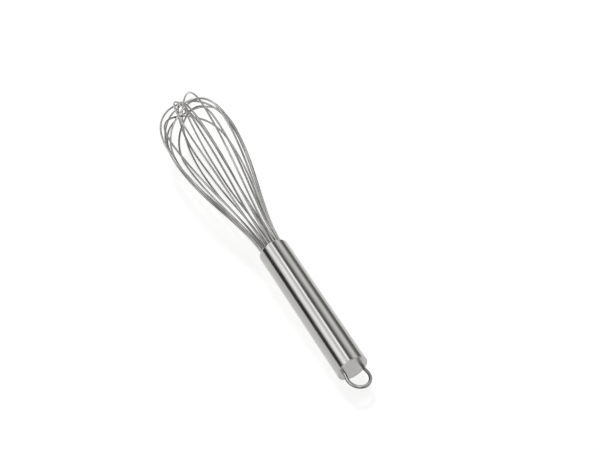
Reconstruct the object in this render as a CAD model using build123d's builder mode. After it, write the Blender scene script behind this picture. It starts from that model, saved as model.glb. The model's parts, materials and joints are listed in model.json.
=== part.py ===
from build123d import *
from math import atan2, cos, pi, radians, sin, tan
import os

# Balloon whisk: a stainless tube handle with a pear-shaped cage of bent wire loops.
# Millimetres. The whisk lies on the ground plane as it would on a worktop, resting on
# its handle's rear rim and on the two lowest strands of the cage. +X points from the
# handle towards the cage's tip and +Z is up. Distances called "station" are measured
# along the whisk's own axis from the rear face of the handle.

# ---- driving dimensions ------------------------------------------------------------
handle_diameter = 23.0
handle_length = 117.0
tube_wall = 0.8
lip_opening_diameter = 18.6         # clear mouth inside the rolled front lip
lip_bend_radius = 1.9               # outer radius of the rolled front lip

cap_flange_thickness = 0.8
cap_spigot_length = 4.0
cap_edge_chamfer = 0.25
slip_gap = 0.04                     # between the tube's bore and the pieces inside it

hanger_wire_diameter = 2.5
hanger_leg_spacing = 15.4           # between the two legs, centre to centre
hanger_leg_length = 2.5             # straight part of a leg behind the cap
hanger_tail_length = 6.0            # leg inside the handle
hanger_flare_radius = 10.0
hanger_flare_angle = 16.0           # degrees that each leg spreads before the round bow
weld_gap = 0.02                     # around a leg where it passes through the cap
hanger_roll = 9.0                   # degrees that the bow is turned about the axis

wire_diameter = 1.6
loop_count = 10
strand_circle_radius = 7.75         # where the strands leave the mouth
strand_lead = 3.0                   # straight length of a strand in front of the mouth
cage_radius = 27.7                  # outermost loop, centreline, at its widest
cage_widest = 127.0                 # from the mouth to the widest station
cage_length = 169.5                 # from the mouth to the outermost loop's bend
cage_sweep = 1.5                    # sideways set of the whole cage at its tip, towards -Y
sideways_centre = 2.1               # keeps the origin midway between the cage's two sides
corner_cut = 0.25                   # a strand's arcs pass this far inside their corners
bend_cut = 0.1                      # the same where the outermost loop bends over the tip
stack_pitch = 1.68                  # each loop passes this far under the one outside it
nesting_step = 0.08                 # each loop is this much narrower than the one outside it
taper_exponent = 0.9                # shape of the flare from mouth to widest station
crown_exponent = 2.26               # 2 is an ellipse, more is squarer
turn_run = 80.0                     # length over which a strand turns to its loop's own plane
offset_power = 4                    # how late along the cage a bend's offset builds up

# The loops are bent and pushed in by hand, so each one sits a little differently.
# Outermost loop first: its slot in the ring of strands, the turn of its plane from that
# slot in degrees, the sideways (+Y) and upward offset of its bend, and its extra reach.
loop_sets = [
    (5, 1.5, -5.5, -2.0, 0.2),
    (0, -12.5, -1.0, 1.0, 0.1),
    (8, -3.0, -0.5, 0.0, -0.2),
    (9, -3.5, -8.0, -9.0, 0.0),
    (2, 11.0, -2.5, 3.0, -0.1),
    (3, 11.5, -5.0, -4.5, 0.4),
    (4, 5.5, 5.0, -1.0, 0.3),
    (1, -7.0, 2.0, -4.5, -1.0),
    (7, -3.5, 3.5, 7.0, 1.4),
    (6, -1.5, 1.5, -9.0, -0.1),
]

holder_length = 8.0
holder_recess = 1.6                 # behind the front edge of the tube
resin_length = 26.0
backing_thickness = 2.5
tail_gap = 0.3                      # between the strands' ends and the backing disc

# ---- derived sizes -----------------------------------------------------------------
handle_radius = handle_diameter / 2
bore_radius = handle_radius - tube_wall
insert_radius = bore_radius - slip_gap
wire_radius = wire_diameter / 2
strand_step = 180.0 / loop_count    # degrees between neighbouring strands
holder_front = handle_length - holder_recess
holder_back = holder_front - holder_length
resin_back = holder_back - resin_length
tail_station = resin_back + tail_gap


def flare(distance, reach):
    """Distance of a strand from the axis, between the mouth and the widest station."""
    share = sin(pi / 2 * (distance / cage_widest) ** taper_exponent) ** 2
    return strand_circle_radius + (reach - strand_circle_radius) * share


def strand_place(order, distance, radius):
    """Sideways and upward place of a point of a loop, at this distance from the mouth."""
    slot, turn, side_offset, up_offset, extra_reach = loop_sets[order]
    beyond = max(0.0, distance - strand_lead)
    turned = sin(pi / 2 * min(1.0, beyond / turn_run)) ** 2
    direction = radians(strand_step * (slot + 0.5) + turn * turned)
    late = (beyond / cage_length) ** offset_power
    side = radius * cos(direction) + side_offset * late - cage_sweep * beyond / cage_length
    up = radius * sin(direction) + up_offset * late
    return side, up


def loop_reach(order):
    """Greatest distance of a loop's centreline from the axis."""
    return cage_radius - nesting_step * order + loop_sets[order][4]


def loop_points(order):
    """Corner points of one loop: station along the axis, sideways (+Y) and up."""
    bend = cage_length - stack_pitch * order
    reach = loop_reach(order)
    half = [(strand_lead, strand_circle_radius)]
    half += [(distance, flare(distance, reach)) for distance in (16, 30, 46, 64, 84, 106)]
    for turn in (0, 18, 36, 52, 67, 82):
        along = sin(radians(turn)) ** (2 / crown_exponent)
        across_share = cos(radians(turn)) ** (2 / crown_exponent)
        half.append((cage_widest + (bend - cage_widest) * along, reach * across_share))
    outline = half + [(distance, -radius) for distance, radius in reversed(half)]
    points = []
    for distance, radius in outline:
        side, up = strand_place(order, distance, radius)
        points.append((handle_length + distance, side, up))
    first = (tail_station, points[0][1], points[0][2])
    last = (tail_station, points[-1][1], points[-1][2])
    return [first] + points + [last]


def corner_radii(points):
    """Bend radius at each corner of a route, as large as its two runs allow."""
    radii = []
    for before, corner, after in zip(points, points[1:], points[2:]):
        run_in = Vector(*corner) - Vector(*before)
        run_out = Vector(*after) - Vector(*corner)
        half_turn = radians(run_in.get_angle(run_out) / 2)
        radii.append(0.45 * min(run_in.length, run_out.length) / tan(half_turn))
    return radii


# ---- how the whisk lies ------------------------------------------------------------
# It rests on the handle's rear rim and on the cage's lowest strands.
tilt = 0.0
for order in range(loop_count):
    for distance in range(90, int(cage_widest)):
        for radius in (flare(distance, loop_reach(order)), -flare(distance, loop_reach(order))):
            up = strand_place(order, distance, radius)[1]
            depth = wire_radius - up - corner_cut
            tilt = max(tilt, atan2(depth - handle_radius, handle_length + distance))
axis_direction = Vector(cos(tilt), 0, sin(tilt))
up_direction = Vector(-sin(tilt), 0, cos(tilt))
hanger_bow_radius = (
    hanger_leg_spacing / 2 + hanger_flare_radius * (1 - cos(radians(hanger_flare_angle)))
) / cos(radians(hanger_flare_angle))
hanger_reach = (
    hanger_leg_length
    + (hanger_flare_radius + hanger_bow_radius) * sin(radians(hanger_flare_angle))
    + hanger_bow_radius
    + hanger_wire_diameter / 2
)
front_reach = handle_length + cage_length + wire_radius - bend_cut
middle_station = (front_reach - hanger_reach) / 2
rear_centre = Vector(-middle_station * cos(tilt), sideways_centre, handle_radius * cos(tilt))

whisk = Plane(origin=rear_centre, x_dir=axis_direction, z_dir=up_direction)
profile = Plane(origin=rear_centre, x_dir=axis_direction, z_dir=Vector(0, -1, 0))
whisk_axis = Axis(rear_centre, axis_direction)


def across(station):
    """Plane square to the whisk's axis: local x is +Y, local y is up."""
    return Plane(origin=rear_centre + axis_direction * station, x_dir=(0, 1, 0), z_dir=axis_direction)


# ---- handle tube -------------------------------------------------------------------
lip_opening = lip_opening_diameter / 2
lip_start = handle_length - lip_bend_radius
inner_bend = lip_bend_radius - tube_wall
with BuildPart() as handle_tube:
    with BuildSketch(profile):
        with BuildLine():
            Line((cap_flange_thickness, bore_radius), (cap_flange_thickness, handle_radius))
            Line((cap_flange_thickness, handle_radius), (lip_start, handle_radius))
            RadiusArc(
                (lip_start, handle_radius),
                (handle_length, handle_radius - lip_bend_radius),
                lip_bend_radius,
            )
            Line((handle_length, handle_radius - lip_bend_radius), (handle_length, lip_opening))
            Line((handle_length, lip_opening), (handle_length - tube_wall, lip_opening))
            Line(
                (handle_length - tube_wall, lip_opening),
                (handle_length - tube_wall, bore_radius - inner_bend),
            )
            RadiusArc(
                (handle_length - tube_wall, bore_radius - inner_bend),
                (lip_start, bore_radius),
                -inner_bend,
            )
            Line((lip_start, bore_radius), (cap_flange_thickness, bore_radius))
        make_face()
    revolve(axis=whisk_axis)
handle_tube.part.label = "handle_tube"

# ---- rear cap: a flange over the tube's end and a spigot inside it ---------------------
hanger_up = up_direction.rotate(Axis((0, 0, 0), axis_direction), hanger_roll)
hanger_plane = Plane(origin=rear_centre, x_dir=axis_direction, z_dir=hanger_up)
hanger_holes = []
for side in (-1, 1):
    hanger_holes.append(hanger_plane.from_local_coords(Vector(0, side * hanger_leg_spacing / 2, 0)))
with BuildPart() as rear_cap:
    with BuildSketch(profile):
        with BuildLine():
            Polyline(
                (0, 0),
                (0, handle_radius - cap_edge_chamfer),
                (cap_edge_chamfer, handle_radius),
                (cap_flange_thickness, handle_radius),
                (cap_flange_thickness, insert_radius),
                (cap_spigot_length, insert_radius),
                (cap_spigot_length, 0),
                close=True,
            )
        make_face()
    revolve(axis=whisk_axis)
    with BuildSketch(*[Plane(origin=hole, z_dir=axis_direction) for hole in hanger_holes]):
        Circle(hanger_wire_diameter / 2 + weld_gap)
    extrude(amount=cap_spigot_length, mode=Mode.SUBTRACT)
rear_cap.part.label = "rear_cap"

# ---- hanging loop: a round bow of thicker wire with both legs through the cap ----------
with BuildPart() as hanging_loop:
    with BuildLine(hanger_plane) as bow:
        leg_in = Line(
            (hanger_tail_length, -hanger_leg_spacing / 2),
            (-hanger_leg_length, -hanger_leg_spacing / 2),
        )
        flare_out = JernArc(
            leg_in @ 1, leg_in % 1, hanger_flare_radius, hanger_flare_angle
        )
        round_bow = JernArc(
            flare_out @ 1, flare_out % 1, hanger_bow_radius, -(180 + 2 * hanger_flare_angle)
        )
        flare_in = JernArc(
            round_bow @ 1, round_bow % 1, hanger_flare_radius, hanger_flare_angle
        )
        Line(flare_in @ 1, (hanger_tail_length, hanger_leg_spacing / 2))
    with BuildSketch(Plane(origin=bow.line @ 0, z_dir=bow.line % 0)):
        Circle(hanger_wire_diameter / 2)
    sweep(path=bow.line)
hanging_loop.part.label = "hanging_loop"

# ---- wire loops --------------------------------------------------------------------
wire_loops = []
for order in range(loop_count):
    corners = loop_points(order)
    with BuildPart() as wire_loop:
        with BuildLine(whisk) as route:
            FilletPolyline(*corners, radius=corner_radii(corners))
        with BuildSketch(Plane(origin=route.line @ 0, z_dir=route.line % 0)):
            Circle(wire_radius)
        sweep(path=route.line)
    wire_loop.part.label = f"wire_loop_{order + 1:02d}"
    wire_loops.append(wire_loop.part)

# ---- pieces inside the handle ---------------------------------------------------------
def insert_disc(back, front, hole_radius, label):
    """Disc inside the tube with one hole for each strand, or none if hole_radius is 0."""
    with BuildPart() as disc:
        with BuildSketch(across(back)):
            Circle(insert_radius)
            if hole_radius:
                with PolarLocations(strand_circle_radius, 2 * loop_count, strand_step / 2):
                    Circle(hole_radius, mode=Mode.SUBTRACT)
        extrude(amount=front - back)
    disc.part.label = label
    return disc.part


strand_fit = wire_radius + 0.02
wire_holder = insert_disc(holder_back, holder_front, strand_fit, "wire_holder")
sealing_resin = insert_disc(resin_back, holder_back, strand_fit, "sealing_resin")
backing_disc = insert_disc(resin_back - backing_thickness, resin_back, 0, "backing_disc")

# ---- export ------------------------------------------------------------------------
os.makedirs("parts", exist_ok=True)
pieces = [handle_tube.part, rear_cap.part, hanging_loop.part, wire_holder, sealing_resin, backing_disc]
for piece in pieces + wire_loops:
    export_step(piece, f"parts/{piece.label}.step")
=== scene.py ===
"""Balloon whisk: the looks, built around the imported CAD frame. Metres, in the frame's own axes."""

import json
from math import cos, pi, radians, sin, sqrt

import bpy
from mathutils import Matrix, Vector


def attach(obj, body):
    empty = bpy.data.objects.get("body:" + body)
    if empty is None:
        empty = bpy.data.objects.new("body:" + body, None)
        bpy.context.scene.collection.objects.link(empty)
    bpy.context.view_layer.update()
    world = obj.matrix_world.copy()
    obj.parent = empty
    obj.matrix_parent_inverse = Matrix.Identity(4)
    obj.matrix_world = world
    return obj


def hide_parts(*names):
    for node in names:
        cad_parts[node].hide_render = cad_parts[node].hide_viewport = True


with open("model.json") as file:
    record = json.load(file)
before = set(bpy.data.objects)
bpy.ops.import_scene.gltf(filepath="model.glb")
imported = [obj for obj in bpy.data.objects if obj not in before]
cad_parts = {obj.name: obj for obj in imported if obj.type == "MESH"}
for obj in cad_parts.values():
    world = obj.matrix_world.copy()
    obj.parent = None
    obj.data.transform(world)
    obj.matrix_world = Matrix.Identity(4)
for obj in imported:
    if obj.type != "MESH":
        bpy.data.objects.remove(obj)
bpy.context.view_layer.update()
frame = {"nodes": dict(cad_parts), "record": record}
MM = 0.001

# ---- sizes in millimetres --------------------------------------------------------------------
# The same as the CAD part's, but for small roundings of edges that only the looks have.
HANDLE_RADIUS = 11.5
HANDLE_LENGTH = 117.0
TUBE_WALL = 0.8
BORE_RADIUS = HANDLE_RADIUS - TUBE_WALL
LIP_BEND = 1.9
LIP_OPENING = 9.3
LIP_EDGE = 0.22                 # rounding of the sheet's cut edge
SEAM_EDGE = 0.12                # rounding of the tube's end where it meets the cap
CAP_FLANGE = 0.8
CAP_SPIGOT = 4.0
CAP_EDGE = 0.25                 # rounding of the cap's rear corner
FLANGE_EDGE = 0.08              # rounding of the cap's corner against the tube
SPIGOT_EDGE = 0.2               # chamfer of the spigot's end
CAP_CENTRE = 0.05               # radius of the pinhole in the lathed cap's middle
INSERT_RADIUS = BORE_RADIUS - 0.04
HANGER_RADIUS = 1.25
HANGER_HALF_SPACING = 7.7
HANGER_LEG = 2.5
HANGER_TAIL = 6.0
HANGER_FLARE_RADIUS = 10.0
HANGER_FLARE_ANGLE = radians(16.0)
HANGER_ROLL = radians(9.0)
WIRE_RADIUS = 0.8
LOOP_COUNT = 10
STRAND_STEP = pi / LOOP_COUNT
STRAND_CIRCLE = 7.75
STRAND_LEAD = 3.0
CAGE_RADIUS = 27.7
CAGE_WIDEST = 127.0
CAGE_LENGTH = 169.5
CAGE_SWEEP = 1.5
STACK_PITCH = 1.68
NESTING_STEP = 0.08
TAPER_EXPONENT = 0.9
CROWN_EXPONENT = 2.26
TURN_RUN = 80.0
OFFSET_POWER = 4
TAIL_STATION = 81.7
GRIP_STATION = 57.95            # station of the record's handle_grip mount
STOCK_PIECE = 900.0             # length of drawn wire between two loops' pieces

# Outermost loop first: slot in the ring of strands, turn in degrees, the sideways and
# upward offset of its bend, and its extra reach.
LOOP_SETS = [
    (5, 1.5, -5.5, -2.0, 0.2),
    (0, -12.5, -1.0, 1.0, 0.1),
    (8, -3.0, -0.5, 0.0, -0.2),
    (9, -3.5, -8.0, -9.0, 0.0),
    (2, 11.0, -2.5, 3.0, -0.1),
    (3, 11.5, -5.0, -4.5, 0.4),
    (4, 5.5, 5.0, -1.0, 0.3),
    (1, -7.0, 2.0, -4.5, -1.0),
    (7, -3.5, 3.5, 7.0, 1.4),
    (6, -1.5, 1.5, -9.0, -0.1),
]
TAPER_STATIONS = (16, 30, 46, 64, 84, 106)
CROWN_ANGLES = (0, 18, 36, 52, 67, 82)

# ---- how finely the meshes are divided -------------------------------------------------------
LATHE_SEGMENTS = 192
TUBE_RUN_STEPS = 60
BORE_RUN_STEPS = 12
SEAM_STEPS = 4
LIP_STEPS = 16
LIP_EDGE_STEPS = 5
INNER_LIP_STEPS = 8
CAP_FACE_STEPS = 30
CAP_EDGE_STEPS = 6
FLANGE_EDGE_STEPS = 3
TUBE_SUPPORT = 1.4              # rings beside a rounded edge, in that edge's radius, that
CAP_SUPPORT = 1.3               # keep the smooth shading flat next to it
HANGER_SIDES = 40
HANGER_STEP = 0.25              # millimetres between rings on the hanging loop's legs
FLARE_STEPS = 12
BOW_STEPS = 80
WIRE_SIDES = 24
CORNER_STEPS = 12

# ---- the whisk's own frame: x along its axis from the handle's rear face, y = +Y, z up -------
grip = next(m for m in frame["record"]["mounts"] if m["name"] == "handle_grip")
AXIS = -Vector(grip["axis"]).normalized()
SIDE = Vector((0.0, 1.0, 0.0))
UP = AXIS.cross(SIDE)
REAR_CENTRE = Vector(grip["pos_m"]) - AXIS * GRIP_STATION * MM
WHISK = Matrix((AXIS, SIDE, UP)).transposed().to_4x4()
WHISK.translation = REAR_CENTRE


# ---- mesh building ---------------------------------------------------------------------------
def new_object(name, data):
    """A new object, linked into the scene."""
    made = bpy.data.objects.new(name, data)
    bpy.context.scene.collection.objects.link(made)
    return made


def finish_mesh(name, points, faces, coordinates, material):
    """A smooth mesh from points in whisk coordinates. coordinates is each point's place on
    the piece as it would be if it were straight, for the grain, in millimetres."""
    mesh = bpy.data.meshes.new(name)
    mesh.from_pydata([WHISK @ (Vector(p) * MM) for p in points], [], faces)
    grain = mesh.attributes.new("straight", "FLOAT_VECTOR", "POINT")
    grain.data.foreach_set("vector", [value for place in coordinates for value in place])
    mesh.polygons.foreach_set("use_smooth", [True] * len(mesh.polygons))
    mesh.materials.append(material)
    mesh.update()
    return new_object(name, mesh)


def tube_along(name, route, radius, sides, material, cut_from=0.0, end_round=0.25):
    """A round wire along a route, with rounded ends and no twist. cut_from is where on the
    drawn stock the wire was cut, so that no two wires have the same marks."""
    tangents = []
    for index in range(len(route)):
        before = route[max(0, index - 1)]
        after = route[min(len(route) - 1, index + 1)]
        tangents.append((after - before).normalized())
    normal = tangents[0].orthogonal().normalized()
    rings = [(route[0], tangents[0], radius - end_round, 0.0)]
    rings.append((route[0] + tangents[0] * end_round, tangents[0], radius, end_round))
    run = 0.0
    for index in range(1, len(route) - 1):
        run += (route[index] - route[index - 1]).length
        if run > 2 * end_round:
            rings.append((route[index], tangents[index], radius, run))
    run += (route[-1] - route[-2]).length
    rings.append((route[-1] - tangents[-1] * end_round, tangents[-1], radius, run - end_round))
    rings.append((route[-1], tangents[-1], radius - end_round, run))
    points, coordinates, faces = [], [], []
    for centre, tangent, size, along in rings:
        normal = (normal - tangent * normal.dot(tangent)).normalized()
        binormal = tangent.cross(normal)
        for side in range(sides):
            angle = 2 * pi * side / sides
            points.append(centre + (normal * cos(angle) + binormal * sin(angle)) * size)
            coordinates.append((cut_from + along, size * cos(angle), size * sin(angle)))
    for ring in range(len(rings) - 1):
        for side in range(sides):
            here, there = ring * sides, (ring + 1) * sides
            turned = (side + 1) % sides
            faces.append((here + side, here + turned, there + turned, there + side))
    last = (len(rings) - 1) * sides
    faces.append(tuple(reversed(range(sides))))
    faces.append(tuple(last + side for side in range(sides)))
    return finish_mesh(name, points, faces, coordinates, material)


def lathe(name, profile, segments, material):
    """A closed profile of (station, radius) turned about the whisk's axis."""
    run = 0.0
    runs = [run]
    for before, after in zip(profile, profile[1:]):
        run += sqrt((after[0] - before[0]) ** 2 + (after[1] - before[1]) ** 2)
        runs.append(run)
    points, coordinates, faces = [], [], []
    for (station, radius), along in zip(profile, runs):
        for segment in range(segments):
            angle = 2 * pi * segment / segments
            points.append((station, radius * cos(angle), radius * sin(angle)))
            coordinates.append((along, radius * cos(angle), radius * sin(angle)))
    for ring in range(len(profile)):
        here, there = ring * segments, (ring + 1) % len(profile) * segments
        for segment in range(segments):
            turned = (segment + 1) % segments
            faces.append((here + segment, there + segment, there + turned, here + turned))
    return finish_mesh(name, points, faces, coordinates, material)


def arc(centre, radius, start, end, steps):
    """Points of an arc in a profile; angles in degrees from the station axis."""
    return [
        (
            centre[0] + radius * cos(radians(start + (end - start) * step / steps)),
            centre[1] + radius * sin(radians(start + (end - start) * step / steps)),
        )
        for step in range(steps + 1)
    ]


def straight_run(start, end, steps):
    """Points between two profile points, both left out."""
    return [
        (
            start[0] + (end[0] - start[0]) * step / steps,
            start[1] + (end[1] - start[1]) * step / steps,
        )
        for step in range(1, steps)
    ]


# ---- node helpers ----------------------------------------------------------------------------
def new_tree(material):
    material.use_nodes = True
    tree = material.node_tree
    tree.nodes.clear()
    return tree


def add(tree, kind, **settings):
    made = tree.nodes.new(kind)
    for key, value in settings.items():
        setattr(made, key, value)
    return made


def feed(tree, value, socket):
    """Links a socket into another, or sets a constant on it."""
    if hasattr(value, "is_output"):
        tree.links.new(value, socket)
    else:
        socket.default_value = value


def maths(tree, operation, *values):
    made = add(tree, "ShaderNodeMath", operation=operation)
    for value, socket in zip(values, made.inputs):
        feed(tree, value, socket)
    return made.outputs[0]


def stretch(tree, vector, scale):
    made = add(tree, "ShaderNodeVectorMath", operation="MULTIPLY")
    feed(tree, vector, made.inputs[0])
    made.inputs[1].default_value = scale
    return made.outputs[0]


def noise(tree, vector, scale, detail=2.0, rough=0.5):
    made = add(tree, "ShaderNodeTexNoise")
    feed(tree, vector, made.inputs["Vector"])
    made.inputs["Scale"].default_value = scale
    made.inputs["Detail"].default_value = detail
    made.inputs["Roughness"].default_value = rough
    return made.outputs["Fac"]


def remap(tree, value, low, high, to_low, to_high):
    made = add(tree, "ShaderNodeMapRange")
    feed(tree, value, made.inputs["Value"])
    made.inputs["From Min"].default_value = low
    made.inputs["From Max"].default_value = high
    made.inputs["To Min"].default_value = to_low
    made.inputs["To Max"].default_value = to_high
    return made.outputs["Result"]


def blend_colours(tree, factor, first, second):
    made = add(tree, "ShaderNodeMix", data_type="RGBA")
    feed(tree, factor, made.inputs[0])
    feed(tree, first, made.inputs[6])
    feed(tree, second, made.inputs[7])
    return made.outputs[2]


def bump(tree, height, distance, strength, normal=None):
    made = add(tree, "ShaderNodeBump")
    feed(tree, height, made.inputs["Height"])
    made.inputs["Distance"].default_value = distance
    made.inputs["Strength"].default_value = strength
    if normal is not None:
        tree.links.new(normal, made.inputs["Normal"])
    return made.outputs["Normal"]


def surface(tree, colour, roughness, metallic=0.0, normal=None):
    """The tree's shader and output. Gives back the shader."""
    shader = add(tree, "ShaderNodeBsdfPrincipled")
    shader.inputs["Metallic"].default_value = metallic
    feed(tree, colour, shader.inputs["Base Color"])
    feed(tree, roughness, shader.inputs["Roughness"])
    if normal is not None:
        tree.links.new(normal, shader.inputs["Normal"])
    out = add(tree, "ShaderNodeOutputMaterial")
    tree.links.new(shader.outputs[0], out.inputs["Surface"])
    return shader


def weighted(tree, first, first_share, second):
    """The weighted mean of two values."""
    return maths(
        tree, "ADD",
        maths(tree, "MULTIPLY", first, first_share),
        maths(tree, "MULTIPLY", second, 1 - first_share),
    )


# ---- materials -------------------------------------------------------------------------------
# Frequencies are per millimetre of the straightened piece, heights in metres.
FINE_MARK_SHARE = 0.6           # of the working marks' height, the rest being coarse marks
COARSE_MARK_SCALE = 0.22        # frequency of the coarse marks over that of the fine ones
SMEAR_SCALE = 0.09
UNEVEN_SCALE = 0.05
SCRATCH_SCALE = (0.35, 2.6, 1.1)
SCRATCH_EDGE = 0.02             # how quickly a scratch starts, in the noise's own value
SCRATCH_DULLING = 0.06          # roughness that a scratch adds
SCRATCH_DEPTH = 0.0000005
MARK_TINT_SHARE = 0.4           # of the colour's change, the rest coming from the streaks
MARK_RANGE = (0.3, 0.7)         # noise values between which an effect goes from none to full
SMEAR_RANGE = (0.45, 0.7)
TINT_RANGE = (0.4, 0.6)

MOULD_FINE_SCALE = 9            # frequency of the fine grain over that of the mottling
MOULD_PIT_SCALE = 4             # the same for the pits
MOTTLING_RANGE = (0.35, 0.65)
MOULD_PIT_EDGE = (0.68, 0.72)   # noise values between which a pit's wall lies
MOULD_PIT_DEPTH = 1.5           # over the fine grain's height
MOULD_RELIEF_SHARE = 0.6


def steel(name, light, dark, roughness, grain, grain_depth, streak, scratch, smudge, waviness):
    """Worked stainless steel.
    grain: frequency of the working marks along, and twice across, the straightened piece.
    streak: the same for the broad lighter and darker streaks left by rolling or drawing.
    roughness: (lowest, highest). scratch: more of it gives more fine scratches.
    smudge: roughness that the smears add. waviness: height of the slow unevenness."""
    material = bpy.data.materials.new(name)
    tree = new_tree(material)
    place = add(tree, "ShaderNodeAttribute", attribute_name="straight").outputs["Vector"]
    marks = noise(tree, stretch(tree, place, grain), 1.0, 3.0, 0.6)
    coarse = noise(tree, stretch(tree, place, tuple(v * COARSE_MARK_SCALE for v in grain)), 1.0)
    marks = weighted(tree, marks, FINE_MARK_SHARE, coarse)
    cloud = noise(tree, place, SMEAR_SCALE, 4.0, 0.6)
    slow = noise(tree, place, UNEVEN_SCALE, 1.0, 0.4)
    nicks = noise(tree, stretch(tree, place, SCRATCH_SCALE), 1.0, 1.0, 0.4)
    nicks = remap(tree, nicks, 1 - scratch, 1 - scratch + SCRATCH_EDGE, 0.0, 1.0)
    low, high = roughness
    shine = remap(tree, marks, *MARK_RANGE, low, high)
    shine = maths(tree, "ADD", shine, remap(tree, cloud, *SMEAR_RANGE, 0.0, smudge))
    shine = maths(tree, "ADD", shine, maths(tree, "MULTIPLY", nicks, SCRATCH_DULLING))
    streaks = noise(tree, stretch(tree, place, streak), 1.0)
    tint = weighted(tree, marks, MARK_TINT_SHARE, streaks)
    colour = blend_colours(tree, remap(tree, tint, *TINT_RANGE, 0.0, 1.0), dark, light)
    normal = bump(tree, slow, waviness, 1.0)
    normal = bump(tree, marks, grain_depth, 1.0, normal)
    normal = bump(tree, maths(tree, "MULTIPLY", nicks, -1.0), SCRATCH_DEPTH, 1.0, normal)
    surface(tree, colour, shine, 1.0, normal)
    return material


def moulded(name, light, dark, roughness, mottling, relief):
    """A matt surface, cast, moulded or blasted, with fine grain, mottling and tiny pits.
    mottling: its frequency per metre. relief: height of the grain."""
    material = bpy.data.materials.new(name)
    tree = new_tree(material)
    place = add(tree, "ShaderNodeTexCoord").outputs["Object"]
    cloud = noise(tree, place, mottling, 4.0, 0.6)
    fine = noise(tree, place, mottling * MOULD_FINE_SCALE, 3.0, 0.6)
    pits = noise(tree, place, mottling * MOULD_PIT_SCALE, 1.0)
    pits = remap(tree, pits, *MOULD_PIT_EDGE, 0.0, 1.0)
    colour = blend_colours(tree, remap(tree, cloud, *MOTTLING_RANGE, 0.0, 1.0), dark, light)
    low, high = roughness
    shine = remap(tree, fine, *MARK_RANGE, low, high)
    height = maths(tree, "SUBTRACT", fine, maths(tree, "MULTIPLY", pits, MOULD_PIT_DEPTH))
    surface(tree, colour, shine, 0.0, bump(tree, height, relief, MOULD_RELIEF_SHARE))
    return material


handle_steel = steel(
    "handle_steel", (0.47, 0.465, 0.45, 1), (0.42, 0.415, 0.40, 1),
    roughness=(0.11, 0.17), grain=(0.25, 7.0, 7.0), grain_depth=0.0000005,
    streak=(0.03, 0.8, 0.8), scratch=0.27, smudge=0.05, waviness=0.000004,
)
cap_steel = steel(
    "cap_steel", (0.49, 0.485, 0.47, 1), (0.41, 0.405, 0.39, 1),
    roughness=(0.2, 0.34), grain=(9.0, 0.3, 0.3), grain_depth=0.000002,
    streak=(1.5, 0.1, 0.1), scratch=0.3, smudge=0.07, waviness=0.00001,
)
wire_steel = steel(
    "wire_steel", (0.62, 0.615, 0.60, 1), (0.15, 0.149, 0.143, 1),
    roughness=(0.08, 0.15), grain=(0.12, 6.0, 6.0), grain_depth=0.0000003,
    streak=(0.03, 0.9, 0.9), scratch=0.22, smudge=0.04, waviness=0.000001,
)
hanger_steel = steel(
    "hanger_steel", (0.52, 0.515, 0.50, 1), (0.13, 0.129, 0.124, 1),
    roughness=(0.08, 0.15), grain=(0.15, 5.0, 5.0), grain_depth=0.0000003,
    streak=(0.03, 0.7, 0.7), scratch=0.22, smudge=0.04, waviness=0.000001,
)
holder_plastic = moulded(
    "holder_plastic", (0.20, 0.20, 0.20, 1), (0.13, 0.13, 0.13, 1), (0.5, 0.7), 700.0, 0.00004
)
resin = moulded(
    "resin", (0.55, 0.50, 0.40, 1), (0.46, 0.41, 0.32, 1), (0.35, 0.5), 300.0, 0.00002
)
backing_steel = moulded(
    "backing_steel", (0.42, 0.42, 0.41, 1), (0.36, 0.36, 0.35, 1), (0.4, 0.5), 500.0, 0.00001
)

# ---- handle tube with its rolled front lip ---------------------------------------------------
lip_start = HANDLE_LENGTH - LIP_BEND
inner_bend = LIP_BEND - TUBE_WALL
seam_end = (CAP_FLANGE + TUBE_SUPPORT * SEAM_EDGE, HANDLE_RADIUS)
run_end = (lip_start - SEAM_EDGE, HANDLE_RADIUS)
outer_lip = (HANDLE_LENGTH - LIP_EDGE, LIP_OPENING + LIP_EDGE)
inner_lip = (HANDLE_LENGTH - TUBE_WALL + LIP_EDGE, LIP_OPENING + LIP_EDGE)
tube_profile = [(CAP_FLANGE, BORE_RADIUS), (CAP_FLANGE, HANDLE_RADIUS - SEAM_EDGE)]
tube_profile += arc(
    (CAP_FLANGE + SEAM_EDGE, HANDLE_RADIUS - SEAM_EDGE), SEAM_EDGE, 180, 90, SEAM_STEPS
)[1:]
tube_profile.append(seam_end)
tube_profile += straight_run(seam_end, run_end, TUBE_RUN_STEPS)
tube_profile.append(run_end)
tube_profile += arc((lip_start, HANDLE_RADIUS - LIP_BEND), LIP_BEND, 90, 0, LIP_STEPS)
tube_profile += arc(outer_lip, LIP_EDGE, 0, -90, LIP_EDGE_STEPS)
tube_profile += arc(inner_lip, LIP_EDGE, -90, -180, LIP_EDGE_STEPS)
tube_profile += arc((lip_start, BORE_RADIUS - inner_bend), inner_bend, 0, 90, INNER_LIP_STEPS)
tube_profile += straight_run((lip_start, BORE_RADIUS), (CAP_FLANGE, BORE_RADIUS), BORE_RUN_STEPS)
handle = lathe("handle_tube_looks", tube_profile, LATHE_SEGMENTS, handle_steel)
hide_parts("handle_tube")

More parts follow.
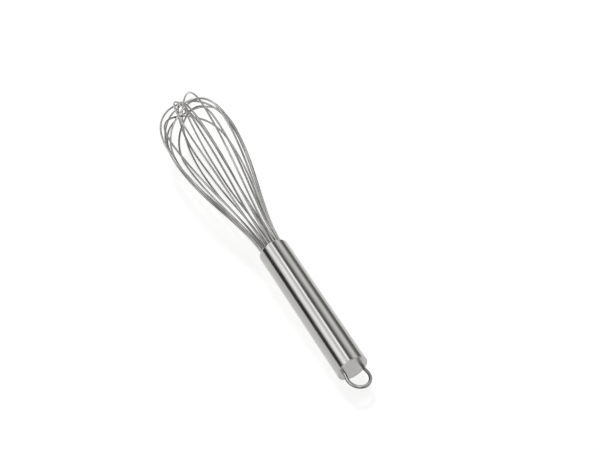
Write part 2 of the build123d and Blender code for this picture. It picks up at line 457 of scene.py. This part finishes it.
# ---- rear cap --------------------------------------------------------------------------------
face_end = (0.0, HANDLE_RADIUS - CAP_SUPPORT * CAP_EDGE)
flange_corner = (CAP_FLANGE - FLANGE_EDGE, HANDLE_RADIUS - FLANGE_EDGE)
cap_profile = [(CAP_SPIGOT, CAP_CENTRE), (0.0, CAP_CENTRE)]
cap_profile += straight_run((0.0, CAP_CENTRE), face_end, CAP_FACE_STEPS)
cap_profile.append(face_end)
cap_profile += arc((CAP_EDGE, HANDLE_RADIUS - CAP_EDGE), CAP_EDGE, 180, 90, CAP_EDGE_STEPS)
cap_profile += arc(flange_corner, FLANGE_EDGE, 90, 0, FLANGE_EDGE_STEPS)
cap_profile += [(CAP_FLANGE, INSERT_RADIUS), (CAP_SPIGOT - SPIGOT_EDGE, INSERT_RADIUS)]
cap_profile.append((CAP_SPIGOT, INSERT_RADIUS - SPIGOT_EDGE))
cap = lathe("rear_cap_looks", cap_profile, LATHE_SEGMENTS, cap_steel)
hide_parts("rear_cap")

# ---- hanging loop ----------------------------------------------------------------------------
bow_radius = (
    HANGER_HALF_SPACING + HANGER_FLARE_RADIUS * (1 - cos(HANGER_FLARE_ANGLE))
) / cos(HANGER_FLARE_ANGLE)
flare_end = -HANGER_LEG - HANGER_FLARE_RADIUS * sin(HANGER_FLARE_ANGLE)
bow_centre = flare_end - bow_radius * sin(HANGER_FLARE_ANGLE)
leg_steps = round((HANGER_TAIL + HANGER_LEG) / HANGER_STEP)
half = [(HANGER_TAIL - HANGER_STEP * step, HANGER_HALF_SPACING) for step in range(leg_steps)]
for step in range(1, FLARE_STEPS + 1):
    turn = HANGER_FLARE_ANGLE * step / FLARE_STEPS
    half.append((
        -HANGER_LEG - HANGER_FLARE_RADIUS * sin(turn),
        HANGER_HALF_SPACING + HANGER_FLARE_RADIUS * (1 - cos(turn)),
    ))
for step in range(1, BOW_STEPS + 1):
    turn = HANGER_FLARE_ANGLE - (pi / 2 + HANGER_FLARE_ANGLE) * step / BOW_STEPS
    half.append((bow_centre + bow_radius * sin(turn), bow_radius * cos(turn)))
outline = half + [(station, -side) for station, side in reversed(half[:-1])]
hanger_route = [
    Vector((station, side * cos(HANGER_ROLL), side * sin(HANGER_ROLL)))
    for station, side in outline
]
hanger = tube_along(
    "hanging_loop_looks", hanger_route, HANGER_RADIUS, HANGER_SIDES, hanger_steel
)
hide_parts("hanging_loop")


# ---- wire loops ------------------------------------------------------------------------------
def strand_radius(distance, reach):
    share = sin(pi / 2 * (distance / CAGE_WIDEST) ** TAPER_EXPONENT) ** 2
    return STRAND_CIRCLE + (reach - STRAND_CIRCLE) * share


def strand_point(order, distance, radius):
    slot, turn, side_offset, up_offset, _ = LOOP_SETS[order]
    beyond = max(0.0, distance - STRAND_LEAD)
    turned = sin(pi / 2 * min(1.0, beyond / TURN_RUN)) ** 2
    direction = STRAND_STEP * (slot + 0.5) + radians(turn) * turned
    late = (beyond / CAGE_LENGTH) ** OFFSET_POWER
    side = radius * cos(direction) + side_offset * late - CAGE_SWEEP * beyond / CAGE_LENGTH
    up = radius * sin(direction) + up_offset * late
    return Vector((HANDLE_LENGTH + distance, side, up))


def loop_corners(order):
    bend = CAGE_LENGTH - STACK_PITCH * order
    reach = CAGE_RADIUS - NESTING_STEP * order + LOOP_SETS[order][4]
    half_loop = [(STRAND_LEAD, STRAND_CIRCLE)]
    half_loop += [(distance, strand_radius(distance, reach)) for distance in TAPER_STATIONS]
    for angle in CROWN_ANGLES:
        along = sin(radians(angle)) ** (2 / CROWN_EXPONENT)
        across = cos(radians(angle)) ** (2 / CROWN_EXPONENT)
        half_loop.append((CAGE_WIDEST + (bend - CAGE_WIDEST) * along, reach * across))
    whole = half_loop + [(distance, -radius) for distance, radius in reversed(half_loop)]
    corners = [strand_point(order, distance, radius) for distance, radius in whole]
    first = Vector((TAIL_STATION, corners[0].y, corners[0].z))
    last = Vector((TAIL_STATION, corners[-1].y, corners[-1].z))
    return [first] + corners + [last]


def smooth_route(corners, steps):
    """Runs through the middle of each straight, and curves past each corner between them."""
    route = [corners[0]]
    for before, corner, after in zip(corners, corners[1:], corners[2:]):
        start = (before + corner) / 2
        end = (corner + after) / 2
        for step in range(steps):
            t = step / steps
            route.append(start * (1 - t) ** 2 + corner * 2 * t * (1 - t) + end * t ** 2)
    route.append((corners[-2] + corners[-1]) / 2)
    route.append(corners[-1])
    return route


wires = []
for order in range(LOOP_COUNT):
    node_name = f"wire_loop_{order + 1:02d}"
    route = smooth_route(loop_corners(order), CORNER_STEPS)
    wire = tube_along(
        node_name + "_looks", route, WIRE_RADIUS, WIRE_SIDES, wire_steel, order * STOCK_PIECE
    )
    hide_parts(node_name)
    wires.append(wire)

# ---- pieces inside the handle keep their CAD shapes ------------------------------------------
for node_name, finish, slot in (
    ("wire_holder", holder_plastic, "holder_plastic"),
    ("sealing_resin", resin, "resin"),
    ("backing_disc", backing_steel, "backing_steel"),
):
    inner = frame["nodes"][node_name]
    inner.data.materials.clear()
    inner.data.materials.append(finish)

for piece in [handle, cap, hanger] + wires:
    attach(piece, "root")

# ---- stage -----------------------------------------------------------------------------------
WHITE = (1.0, 1.0, 1.0, 1.0)
FLOOR_HALF = 6.0
FLOOR_GLOW = 0.66               # the pale floor is a lit table, so that shadows on it stay faint
PAPER_LIGHT = (0.905, 0.905, 0.9, 1)
PAPER_DARK = (0.895, 0.895, 0.89, 1)
PAPER_MOTTLING = 3.0
PAPER_ROUGHNESS = 0.9
PAPER_SHINE = 0.1
floor_mesh = bpy.data.meshes.new("floor")
floor_corners = [
    (x * FLOOR_HALF, y * FLOOR_HALF, 0) for x, y in ((-1, -1), (1, -1), (1, 1), (-1, 1))
]
floor_mesh.from_pydata(floor_corners, [], [(0, 1, 2, 3)])
floor = new_object("floor", floor_mesh)
paper = bpy.data.materials.new("floor_paper")
paper_tree = new_tree(paper)
paper_place = add(paper_tree, "ShaderNodeTexCoord").outputs["Object"]
paper_cloud = noise(paper_tree, paper_place, PAPER_MOTTLING, 3.0)
paper_tint = remap(paper_tree, paper_cloud, *MARK_RANGE, 0.0, 1.0)
paper_colour = blend_colours(paper_tree, paper_tint, PAPER_DARK, PAPER_LIGHT)
paper_shader = surface(paper_tree, paper_colour, PAPER_ROUGHNESS)
paper_shader.inputs["Specular IOR Level"].default_value = PAPER_SHINE
paper_shader.inputs["Emission Color"].default_value = WHITE
paper_shader.inputs["Emission Strength"].default_value = FLOOR_GLOW
floor_mesh.materials.append(paper)

# ---- light: a white studio whose softboxes run along the whisk -------------------------------
# Only reflections see the softboxes. They are strips laid out by angle about the whisk's axis,
# from CARD_ZERO towards CARD_QUARTER. Each row of CARDS is an angle in degrees and the strength
# there, and the strength changes evenly from one row to the next.
CARD_ZERO = SIDE * 0.407 + UP * 0.914
CARD_QUARTER = SIDE * -0.914 + UP * 0.407
CARDS = [
    (-180, 1.00), (-103, 1.00), (-88, 0.85), (-74, 0.06), (-43, 0.04), (-32, 1.30), (-23, 1.80),
    (-15, 1.85), (-8, 1.35), (2, 1.02), (8, 1.05), (11, 2.15), (18, 2.15), (22, 0.12), (36, 0.16),
    (52, 0.90), (68, 1.25), (79, 0.85), (90, 0.20), (112, 0.22), (122, 1.00), (180, 1.00),
]
CARD_PEAK = 2.2
CARD_SKEW = 0.67                # radians that the strips lean per unit along the axis
CARD_TURN = 0.35                # radians that all the strips are turned about the axis
AMBIENT = 0.32                  # strength of the even light that is not a reflection

world = bpy.data.worlds.new("studio")
bpy.context.scene.world = world
world.use_nodes = True
sky = world.node_tree
sky.nodes.clear()
heading = add(sky, "ShaderNodeTexCoord").outputs["Generated"]


def component(direction):
    made = add(sky, "ShaderNodeVectorMath", operation="DOT_PRODUCT")
    sky.links.new(heading, made.inputs[0])
    made.inputs[1].default_value = direction
    return made.outputs["Value"]


card_angle = maths(sky, "ARCTAN2", component(CARD_QUARTER), component(CARD_ZERO))
card_angle = maths(sky, "ADD", card_angle, maths(sky, "MULTIPLY", component(AXIS), -CARD_SKEW))
card_angle = maths(sky, "WRAP", maths(sky, "ADD", card_angle, CARD_TURN), pi, -pi)
card_share = remap(sky, card_angle, -pi, pi, 0.0, 1.0)
ramp = add(sky, "ShaderNodeValToRGB")
sky.links.new(card_share, ramp.inputs["Fac"])
stops = ramp.color_ramp.elements
for angle, _ in CARDS[1:-1]:
    stops.new((angle + 180) / 360)
for stop, (angle, level) in zip(stops, CARDS):
    grey = level / CARD_PEAK
    stop.position = (angle + 180) / 360
    stop.color = (grey, grey, grey, 1)


def background(colour, strength):
    made = add(sky, "ShaderNodeBackground")
    feed(sky, colour, made.inputs["Color"])
    made.inputs["Strength"].default_value = strength
    return made.outputs[0]


def choose(condition, otherwise, chosen):
    """One background where the ray is of the kind that condition tells, else the other."""
    made = add(sky, "ShaderNodeMixShader")
    for value, socket in zip((condition, otherwise, chosen), made.inputs):
        sky.links.new(value, socket)
    return made.outputs[0]


ray_kind = add(sky, "ShaderNodeLightPath")
reflected = background(ramp.outputs["Color"], CARD_PEAK)
studio = choose(ray_kind.outputs["Is Glossy Ray"], background(WHITE, AMBIENT), reflected)
studio = choose(ray_kind.outputs["Is Camera Ray"], studio, background(WHITE, 1.0))
sky_out = add(sky, "ShaderNodeOutputWorld")
sky.links.new(studio, sky_out.inputs["Surface"])

KEY_TRAVEL = Vector((-0.677, 0.130, -0.724))    # the way its light goes
KEY_ENERGY = 0.5
KEY_SPREAD = radians(14.0)
key_data = bpy.data.lights.new("key", "SUN")
key_data.energy = KEY_ENERGY
key_data.angle = KEY_SPREAD
key = new_object("key", key_data)
key.visible_glossy = False      # the softboxes are its reflection
key.rotation_euler = KEY_TRAVEL.to_track_quat("-Z", "Y").to_euler()

# ---- camera ----------------------------------------------------------------------------------
AIM = Vector((-5.1, -27.1, 20.0)) * MM
CAMERA_DISTANCE = 963.8 * MM
LOOK_HEADING = radians(-28.65)  # from +X, anticlockwise seen from above
LOOK_DOWN = radians(45.49)
CAMERA_ROLL = radians(0.44)
SENSOR_WIDTH = 36.0
CAMERA_LENS = 78.0
CAMERA_FAR = 50.0
look = Vector((
    cos(LOOK_DOWN) * cos(LOOK_HEADING), cos(LOOK_DOWN) * sin(LOOK_HEADING), -sin(LOOK_DOWN)
))
camera_data = bpy.data.cameras.new("camera")
camera_data.sensor_width = SENSOR_WIDTH
camera_data.lens = CAMERA_LENS
camera_data.clip_end = CAMERA_FAR
camera = new_object("camera", camera_data)
facing = look.to_track_quat("-Z", "Y").to_matrix()
camera.matrix_world = (
    Matrix.Translation(AIM - look * CAMERA_DISTANCE)
    @ facing.to_4x4()
    @ Matrix.Rotation(CAMERA_ROLL, 4, "Z")
)
bpy.context.scene.camera = camera
bpy.context.scene.view_settings.view_transform = "Standard"
